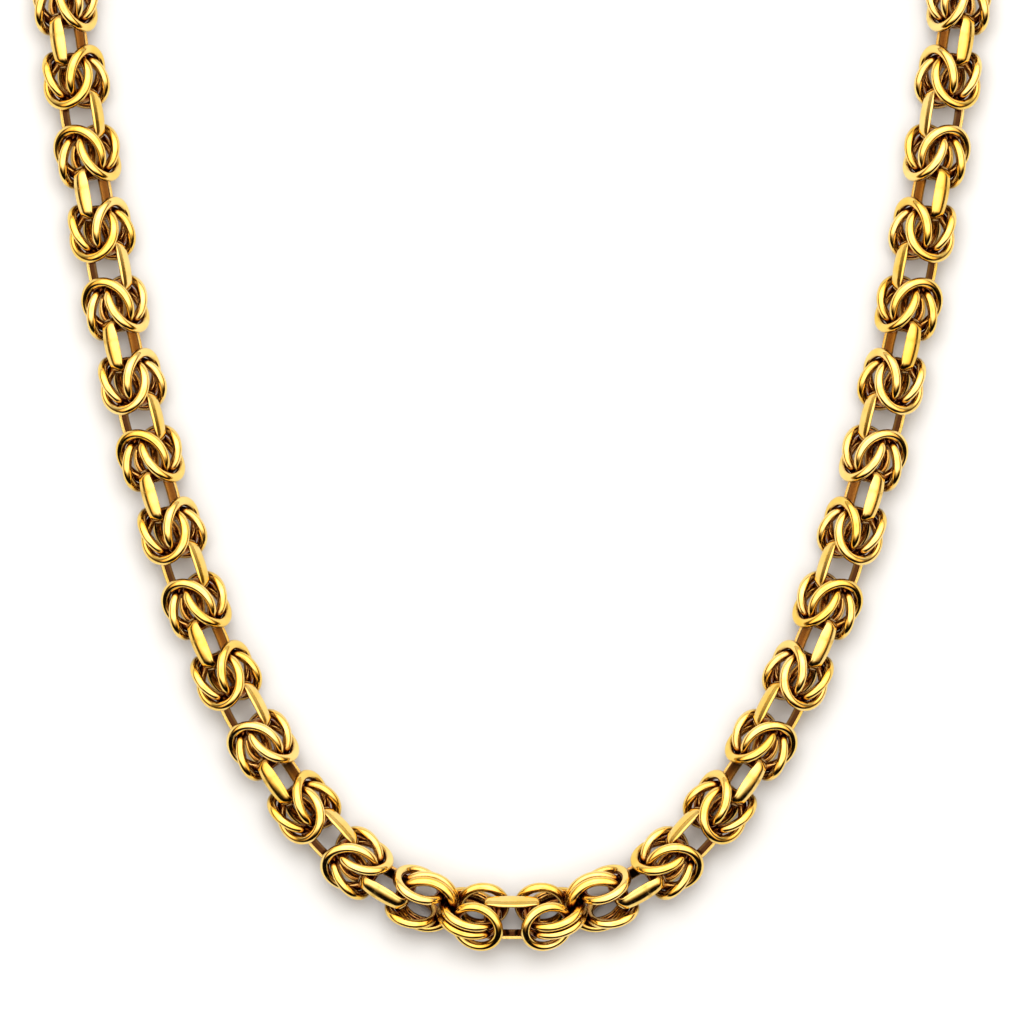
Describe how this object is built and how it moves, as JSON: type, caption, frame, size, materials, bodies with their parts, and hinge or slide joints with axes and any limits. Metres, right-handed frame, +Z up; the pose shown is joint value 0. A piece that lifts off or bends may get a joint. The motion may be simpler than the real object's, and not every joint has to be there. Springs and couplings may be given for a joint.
{
  "type": "aztec link chain",
  "caption": "Closed neck chain lying in a loop: turned strip links joined by folded knots of round wire rings, with a plain box clasp.",
  "frame": {"origin": "centre of the bounding box at the surface that the chain lies on", "axes": "+Z up from the surface, +Y from the loop's centre link towards the clasp, X across the loop, which is the same on both sides of X = 0"},
  "size_m": [0.1438, 0.2078, 0.0099],
  "materials": {
    "ring_gold": "polished",
    "link_gold": "polished",
    "clasp_gold": "polished"
  },
  "bodies": {
    "root": {"ring_links": "ring_gold", "bar_links": "link_gold", "clasp": "clasp_gold"}
  },
  "joints": []
}
